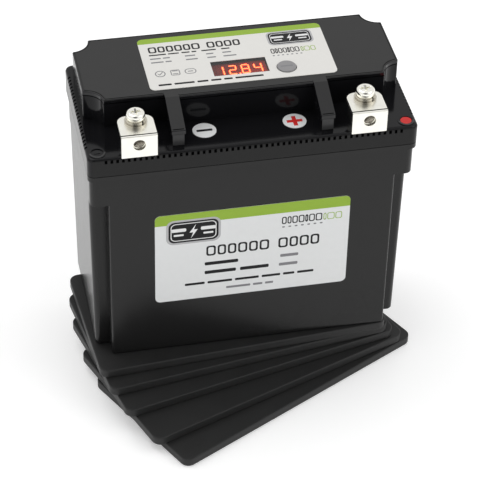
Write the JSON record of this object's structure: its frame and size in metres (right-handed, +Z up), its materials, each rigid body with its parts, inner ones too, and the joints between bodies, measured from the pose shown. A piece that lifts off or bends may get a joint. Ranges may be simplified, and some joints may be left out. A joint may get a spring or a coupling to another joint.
{
  "type": "motorcycle battery",
  "caption": "Lithium motorcycle battery: a black rectangular case with a raised meter housing, a test button, two bolted corner terminals and loose spacer pads fanned out beneath it.",
  "frame": {"origin": "on the surface under the lowest spacer pad, below the middle of the whole object's bounding box", "axes": "+Z up, +X from the negative terminal towards the positive one along the battery's length, -Y out of the battery's front face"},
  "size_m": [0.1898, 0.1518, 0.1827],
  "materials": {
    "case_plastic": "satin, moulded",
    "lid_plastic": "glossy, moulded",
    "cover_plastic": "fine spark texture",
    "board": "solder mask",
    "steel": "zinc plated",
    "display": "seven-segment module with a dark face",
    "window": "red tinted",
    "button": "satin grey",
    "switch": "moulded",
    "black_component": "moulded package",
    "connector": "moulded nylon",
    "top_label_print": "printed film",
    "front_label_print": "printed film",
    "pole_mark": "printed disc",
    "red_paint": "painted",
    "cell_sleeve": "heat-shrink sleeve",
    "foam": "closed-cell foam",
    "copper": "bare copper",
    "wire": "insulated",
    "terminal_metal": "nickel plated",
    "bolt_steel": "nickel plated",
    "pad_foam": "smooth-skinned closed-cell foam"
  },
  "bodies": {
    "battery": {"case": "case_plastic", "lid": "lid_plastic", "top_cover": "cover_plastic", "circuit_board": "board", "board_screws": "steel", "display_module": "display", "display_window": "window", "button_switch": "switch", "balance_transistors": "black_component", "wire_connector": "connector", "controller_chip": "black_component", "top_label": "top_label_print", "front_label": "front_label_print", "negative_mark": "pole_mark", "positive_mark": "pole_mark", "red_corner_dot": "red_paint", "cell_1": "cell_sleeve", "cell_2": "cell_sleeve", "cell_3": "cell_sleeve", "cell_4": "cell_sleeve", "cell_separators": "foam", "end_foams": "foam", "base_foam": "foam", "bus_bars": "copper", "cell_nuts": "steel", "negative_lead": "copper", "positive_lead": "copper", "lead_screws": "steel", "sense_wires": "wire", "negative_post": "terminal_metal", "negative_bracket": "terminal_metal", "positive_post": "terminal_metal", "positive_bracket": "terminal_metal"},
    "test_button": {"test_button": "button"},
    "negative_washers": {"negative_flat_washer": "bolt_steel", "negative_spring_washer": "bolt_steel"},
    "negative_bolt": {"negative_bolt": "bolt_steel"},
    "positive_washers": {"positive_flat_washer": "bolt_steel", "positive_spring_washer": "bolt_steel"},
    "positive_bolt": {"positive_bolt": "bolt_steel"},
    "spacer_1": {"spacer_1": "pad_foam"},
    "spacer_2": {"spacer_2": "pad_foam"},
    "spacer_3": {"spacer_3": "pad_foam"},
    "spacer_4": {"spacer_4": "pad_foam"},
    "spacer_5": {"spacer_5": "pad_foam"}
  },
  "joints": [
    {"name": "test_button_press", "type": "slide", "parent": "battery", "child": "test_button", "axis": [0, 0, -1], "range_m": [0, 0.0008], "stiffness_N_per_m": 800},
    {"name": "negative_bolt_lift", "type": "slide", "parent": "battery", "child": "negative_washers", "axis": [0, 0, 1], "range_m": [0, 0.008]},
    {"name": "negative_bolt_turn", "type": "hinge", "parent": "negative_washers", "child": "negative_bolt", "pos_m": [-0.06189, 0.00107, 0.1759], "axis": [0, 0, 1], "range_deg": [0, 2880]},
    {"name": "positive_bolt_lift", "type": "slide", "parent": "battery", "child": "positive_washers", "axis": [0, 0, 1], "range_m": [0, 0.008]},
    {"name": "positive_bolt_turn", "type": "hinge", "parent": "positive_washers", "child": "positive_bolt", "pos_m": [0.05911, 0.00107, 0.1759], "axis": [0, 0, 1], "range_deg": [0, 2880]},
    {"name": "spacer_1_turn", "type": "hinge", "parent": "battery", "child": "spacer_1", "pos_m": [0.07561, -0.05083, 0.02382], "axis": [0, 0, 1], "range_deg": [-4.5, 10]},
    {"name": "spacer_2_turn", "type": "hinge", "parent": "battery", "child": "spacer_2", "pos_m": [0.05861, -0.01183, 0.01852], "axis": [0, 0, 1], "range_deg": [-9, 10]},
    {"name": "spacer_3_turn", "type": "hinge", "parent": "battery", "child": "spacer_3", "pos_m": [0.06361, 0.00617, 0.01323], "axis": [0, 0, 1], "range_deg": [-14, 10]},
    {"name": "spacer_4_turn", "type": "hinge", "parent": "battery", "child": "spacer_4", "pos_m": [0.06961, 0.01817, 0.00792], "axis": [0, 0, 1], "range_deg": [-21.5, 10]},
    {"name": "spacer_5_turn", "type": "hinge", "parent": "battery", "child": "spacer_5", "pos_m": [0.06961, 0.02617, 0.00263], "axis": [0, 0, 1], "range_deg": [-28, 10]}
  ],
  "couplings": [
    {"joint": "negative_bolt_turn", "follows": "negative_bolt_lift", "rad_per_m": 6283.2},
    {"joint": "positive_bolt_turn", "follows": "positive_bolt_lift", "rad_per_m": 6283.2}
  ]
}
